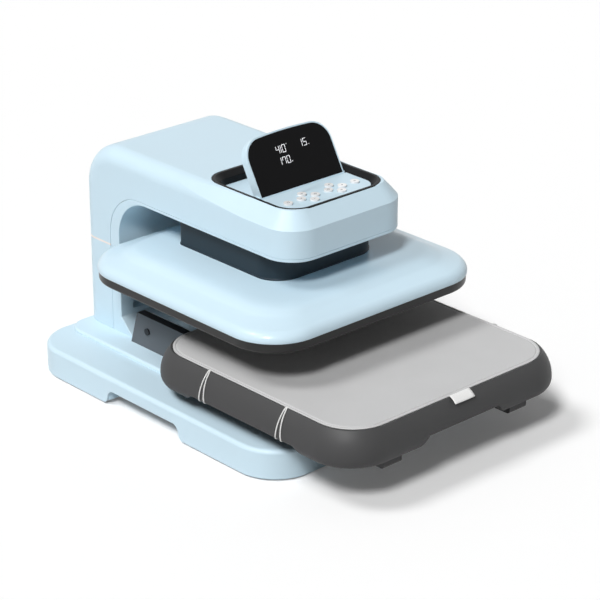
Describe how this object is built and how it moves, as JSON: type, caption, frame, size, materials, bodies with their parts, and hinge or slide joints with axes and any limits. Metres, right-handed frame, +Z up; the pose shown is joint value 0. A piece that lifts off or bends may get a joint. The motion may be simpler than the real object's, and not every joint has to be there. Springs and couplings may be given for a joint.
{
  "type": "flat heat press",
  "caption": "Flat heat press on a low base: a powered head lowers a heated plate on a fabric pad in a slide-out drawer, with a fold-down display and keypad.",
  "frame": {"origin": "on the table, under the middle of the base", "axes": "+X right, +Y to the rear, +Z up; the drawer comes out towards -Y"},
  "size_m": [0.42, 0.6509, 0.3866],
  "materials": {
    "body": "satin gloss light blue",
    "band": "pale matt",
    "steel": "plain",
    "screws": "black oxide",
    "aluminium": "plain",
    "brass": "plain",
    "rubber": "matt",
    "slate": "fine texture",
    "dark": "fine texture",
    "black": "satin",
    "board": "solder mask",
    "insulation": "matt fibre board",
    "glass": "gloss black, opaque",
    "pad": "plain weave",
    "elastic": "plain",
    "keys": "white"
  },
  "bodies": {
    "frame": {"base_shell": "body", "base_plate": "steel", "base_feet": "rubber", "cover_screws": "screws", "frame_plates": "steel", "drive_plate": "steel", "arm_cover": "body", "column_cover": "body", "throat_liner": "body", "column_front": "body", "head_floor": "body", "seam_band": "band", "rear_panel": "body", "power_inlet": "black", "switch_housing": "black", "power_board": "board", "slide_bed": "dark", "bed_rails": "aluminium", "guide_rods": "steel", "inner_shroud": "slate", "drive_motor": "steel", "drive_belt": "rubber", "bezel": "black", "console_floor": "black", "display_well": "body", "key_panel": "body", "control_board": "board", "hinge_pin": "steel"},
    "press": {"neck_shroud": "slate", "crosshead": "steel", "brass_bushes": "brass", "ram_tube": "steel", "platen_cover": "body", "platen_ring": "black", "platen_plate": "steel", "insulation_board": "insulation", "heating_element": "steel", "heat_plate": "aluminium"},
    "screw": {"lead_screw": "steel", "screw_pulley": "aluminium"},
    "motor_rotor": {"motor_pulley": "aluminium"},
    "drawer": {"drawer_tray": "dark", "drawer_runners": "steel", "pad_core": "rubber", "pad_cover": "pad", "elastic_cords": "elastic", "pad_tag": "elastic"},
    "display": {"display_shell": "body", "display_glass": "glass"},
    "rocker": {"power_rocker": "black"},
    "b_key_left": {"key_left": "keys"},
    "b_key_right": {"key_right": "keys"},
    "b_key_a_right": {"key_a_right": "keys"},
    "b_key_a_rear": {"key_a_rear": "keys"},
    "b_key_a_left": {"key_a_left": "keys"},
    "b_key_a_front": {"key_a_front": "keys"},
    "b_key_b_right": {"key_b_right": "keys"},
    "b_key_b_rear": {"key_b_rear": "keys"},
    "b_key_b_left": {"key_b_left": "keys"},
    "b_key_b_front": {"key_b_front": "keys"}
  },
  "joints": [
    {"name": "press_stroke", "type": "slide", "parent": "frame", "child": "press", "axis": [0, 0, -1], "range_m": [0, 0.053]},
    {"name": "screw_spin", "type": "hinge", "parent": "frame", "child": "screw", "pos_m": [0, -0.0452, 0.25], "axis": [0, 0, 1], "range_deg": [0, 2395]},
    {"name": "motor_spin", "type": "hinge", "parent": "frame", "child": "motor_rotor", "pos_m": [0, 0.205, 0.295], "axis": [0, 0, 1], "range_deg": [0, 4790]},
    {"name": "drawer_slide", "type": "slide", "parent": "frame", "child": "drawer", "axis": [0, 1, 0], "range_m": [0, 0.14625]},
    {"name": "display_fold", "type": "hinge", "parent": "frame", "child": "display", "pos_m": [0, -0.08225, 0.313], "axis": [1, 0, 0], "range_deg": [-60.5, 0]},
    {"name": "rocker_tilt", "type": "hinge", "parent": "frame", "child": "rocker", "pos_m": [0.034, 0.247, 0.084], "axis": [1, 0, 0], "range_deg": [-16, 0]},
    {"name": "key_left_press", "type": "slide", "parent": "frame", "child": "b_key_left", "axis": [0, 0, -1], "range_m": [0, 0.001], "stiffness_N_per_m": 200, "springref_m": -0.001},
    {"name": "key_right_press", "type": "slide", "parent": "frame", "child": "b_key_right", "axis": [0, 0, -1], "range_m": [0, 0.001], "stiffness_N_per_m": 200, "springref_m": -0.001},
    {"name": "key_a_right_press", "type": "slide", "parent": "frame", "child": "b_key_a_right", "axis": [0, 0, -1], "range_m": [0, 0.001], "stiffness_N_per_m": 200, "springref_m": -0.001},
    {"name": "key_a_rear_press", "type": "slide", "parent": "frame", "child": "b_key_a_rear", "axis": [0, 0, -1], "range_m": [0, 0.001], "stiffness_N_per_m": 200, "springref_m": -0.001},
    {"name": "key_a_left_press", "type": "slide", "parent": "frame", "child": "b_key_a_left", "axis": [0, 0, -1], "range_m": [0, 0.001], "stiffness_N_per_m": 200, "springref_m": -0.001},
    {"name": "key_a_front_press", "type": "slide", "parent": "frame", "child": "b_key_a_front", "axis": [0, 0, -1], "range_m": [0, 0.001], "stiffness_N_per_m": 200, "springref_m": -0.001},
    {"name": "key_b_right_press", "type": "slide", "parent": "frame", "child": "b_key_b_right", "axis": [0, 0, -1], "range_m": [0, 0.001], "stiffness_N_per_m": 200, "springref_m": -0.001},
    {"name": "key_b_rear_press", "type": "slide", "parent": "frame", "child": "b_key_b_rear", "axis": [0, 0, -1], "range_m": [0, 0.001], "stiffness_N_per_m": 200, "springref_m": -0.001},
    {"name": "key_b_left_press", "type": "slide", "parent": "frame", "child": "b_key_b_left", "axis": [0, 0, -1], "range_m": [0, 0.001], "stiffness_N_per_m": 200, "springref_m": -0.001},
    {"name": "key_b_front_press", "type": "slide", "parent": "frame", "child": "b_key_b_front", "axis": [0, 0, -1], "range_m": [0, 0.001], "stiffness_N_per_m": 200, "springref_m": -0.001}
  ],
  "couplings": [
    {"joint": "screw_spin", "follows": "press_stroke", "rad_per_m": 785.4},
    {"joint": "motor_spin", "follows": "press_stroke", "rad_per_m": 1570.8}
  ]
}
